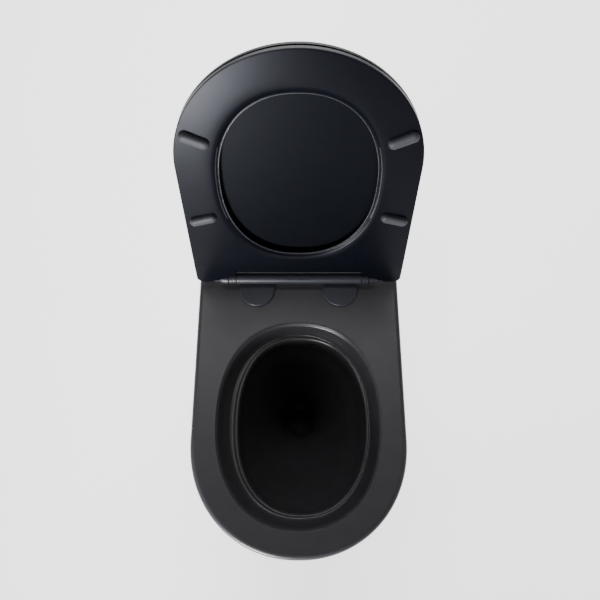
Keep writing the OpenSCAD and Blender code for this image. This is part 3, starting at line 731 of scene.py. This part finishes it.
MATS = {
    "matt_glaze": material("matt_glaze", (0.0267, 0.0252, 0.0300), (0.0230, 0.0217, 0.0259), 0.34, 0.44, 45, 0.03, spec=0.30, wobble=0.015),
    "bowl_glaze": material("bowl_glaze", (0.0250, 0.0240, 0.0270), (0.0205, 0.0197, 0.0222), 0.28, 0.38, 45, 0.03, spec=0.60, wobble=0.015, painted_deep_shade=True),
    "seat_resin": material("seat_resin", (0.0016, 0.0018, 0.0034), (0.0013, 0.0014, 0.0028), 0.29, 0.34, 70, 0.04, spec=0.050, tint=(0.86, 0.88, 1.0)),
    "lid_resin": material("lid_resin", (0.0018, 0.0022, 0.0032), (0.0015, 0.0018, 0.0027), 0.34, 0.40, 70, 0.04, spec=0.028, tint=(0.86, 0.90, 1.0)),
    # painted highlight: a lighter, shinier copy of the seat resin, put on edges and lips that catch the light
    "resin_painted_highlight": material("resin_painted_highlight", (0.0130, 0.0140, 0.0180), (0.0110, 0.0118, 0.0152), 0.36, 0.44, 70, 0.04, spec=0.24),
    "hinge_plastic": material("hinge_plastic", (0.0140, 0.0155, 0.0210), (0.0115, 0.0128, 0.0175), 0.38, 0.46, 90, 0.04, spec=0.26),
    "cover_plastic": material("cover_plastic", (0.0230, 0.0240, 0.0340), (0.0195, 0.0205, 0.0290), 0.36, 0.46, 90, 0.04, spec=0.26),
    "bumper_rubber": material("bumper_rubber", (0.0290, 0.0290, 0.0345), (0.0240, 0.0240, 0.0290), 0.46, 0.54, 120, 0.06, spec=0.10),
    "black_rubber": material("black_rubber", (0.020, 0.020, 0.020), (0.014, 0.014, 0.014), 0.6, 0.75, 120, 0.10),
    "steel": material("steel", (0.62, 0.63, 0.65), (0.54, 0.55, 0.57), 0.22, 0.36, 200, 0.05, metallic=1.0),
    "zinc_steel": material("zinc_steel", (0.56, 0.57, 0.58), (0.45, 0.46, 0.48), 0.32, 0.5, 60, 0.08, metallic=1.0),
    "white_plastic": material("white_plastic", (0.55, 0.56, 0.58), (0.48, 0.49, 0.51), 0.4, 0.5, 80, 0.05),
    "damper_plastic": material("damper_plastic", (0.10, 0.10, 0.11), (0.08, 0.08, 0.088), 0.4, 0.5, 80, 0.05),
}


def paint(obj, mt):
    obj.data.materials.clear()
    obj.data.materials.append(mt)


paint(pan, MATS["matt_glaze"])
pan.data.materials.append(MATS["bowl_glaze"])
axis_pt = Vector((0, -0.075))
for f in pan.data.polygons:
    c, n = f.center, f.normal
    inside = (c.x / 0.1345) ** 2 + ((c.y + 0.083 - 0.0035) / 0.166) ** 2 < 1.0 or (c.z > 0.355 and abs(c.x) < 0.134 and -0.25 < c.y < 0.077)
    towards = (axis_pt - Vector((c.x, c.y))).normalized().dot(Vector((n.x, n.y)))
    if inside and c.z < 0.3965 and c.z > 0.06 and (towards > 0.02 or n.z > 0.3) and c.y < 0.078:
        f.material_index = 1
paint(seat, MATS["seat_resin"])
seat.data.materials.append(MATS["resin_painted_highlight"])
for f, on in zip(seat.data.polygons, seat_highlight_faces):
    if on:
        f.material_index = 1
paint(lid, MATS["lid_resin"])
lid.data.materials.append(MATS["resin_painted_highlight"])
for f, on in zip(lid.data.polygons, lid_highlight_faces):
    if on:
        f.material_index = 1
for o in bumpers:
    paint(o, MATS["bumper_rubber"])
CARRIED = {
    "matt_glaze": ["pan_flush_chamber"],
    "hinge_plastic": ["hinge_bar", "release_button"],
    "cover_plastic": ["hinge_cover_left", "hinge_cover_right", "side_screw_caps"],
    "bumper_rubber": ["lid_bumpers"],
    "black_rubber": ["expansion_plugs", "inlet_seal"],
    "steel": ["fixing_screws", "latch_spring_left", "latch_spring_right", "side_screws", "plug_nuts"],
    "zinc_steel": ["hinge_base_left", "hinge_base_right", "floor_bracket_left", "floor_bracket_right"],
    "white_plastic": ["latch_guide", "latch_pin_left", "latch_pin_right"],
    "damper_plastic": ["damper_body_left", "damper_body_right", "damper_shaft_left", "damper_shaft_right"],
}
painted = set()
for k, names in CARRIED.items():
    for nm in names:
        paint(nodes[nm], MATS[k])
        painted.add(nm)
for nm in ("hinge_bar", "release_button", "hinge_cover_left", "hinge_cover_right", "side_screw_caps"):
    bevel(nodes[nm], 0.5, 3, 30)

# ---------------------------------------------------------------- camera, light, floor
floor_me = bpy.data.meshes.new("floor")
floor_me.from_pydata([(-6, -6, 0), (6, -6, 0), (6, 6, 0), (-6, 6, 0)], [], [(0, 1, 2, 3)])
floor = add(bpy.data.objects.new("floor", floor_me))
floor_mat = material("floor_white", (0.95, 0.95, 0.95), (0.93, 0.93, 0.93), 0.85, 0.95, 8, 0.02, spec=0.2)
floor_mat.node_tree.nodes["Principled BSDF"].inputs["Emission Color"].default_value = (1, 1, 1, 1)
floor_mat.node_tree.nodes["Principled BSDF"].inputs["Emission Strength"].default_value = 1.7
floor_me.materials.append(floor_mat)

cam_data = bpy.data.cameras.new("camera")
cam_data.sensor_width = 36
cam_data.lens = 568.0 / 600 * 36
cam_data.shift_x = 0.0022
cam_data.shift_y = -(300 - 262) / 600
cam_data.clip_start = 0.01
cam_data.clip_end = 50
cam = add(bpy.data.objects.new("camera", cam_data))
cam.location = (0, (HY - 393) * MM, (RIM + 962) * MM)
cam.rotation_euler = (math.radians(90 - 65.8), 0, 0)
bpy.context.scene.camera = cam


def area(name, loc, target, size, power, color=(1, 1, 1), spread=180):
    d = bpy.data.lights.new(name, "AREA")
    d.shape = "RECTANGLE"
    d.size, d.size_y = size
    d.energy = power
    d.color = color
    d.spread = math.radians(spread)
    o = add(bpy.data.objects.new(name, d))
    o.location = loc
    o.rotation_mode = "QUATERNION"
    o.rotation_quaternion = (Vector(target) - Vector(loc)).to_track_quat("-Z", "Y")
    return o


area("key", (-0.62, -1.45, 0.46), (-0.11, 0.28, 0.78), (0.5, 0.5), 19, spread=70)
area("top", (-0.1, 0.95, 2.5), (0, 0.0, 0.4), (1.6, 0.9), 7.5, spread=90)
area("side", (-2.0, -0.5, 2.2), (0, -0.1, 0.4), (0.9, 1.6), 17)
area("back", (0.0, 2.4, 1.7), (0, 0, 0.7), (3.2, 1.1), 75)
area("rim", (2.2, -0.3, 1.9), (0, -0.1, 0.4), (0.8, 1.2), 6)
world = bpy.data.worlds.new("studio")
bpy.context.scene.world = world
world.use_nodes = True
world.node_tree.nodes["Background"].inputs["Color"].default_value = (1, 1, 1, 1)
world.node_tree.nodes["Background"].inputs["Strength"].default_value = 0.24
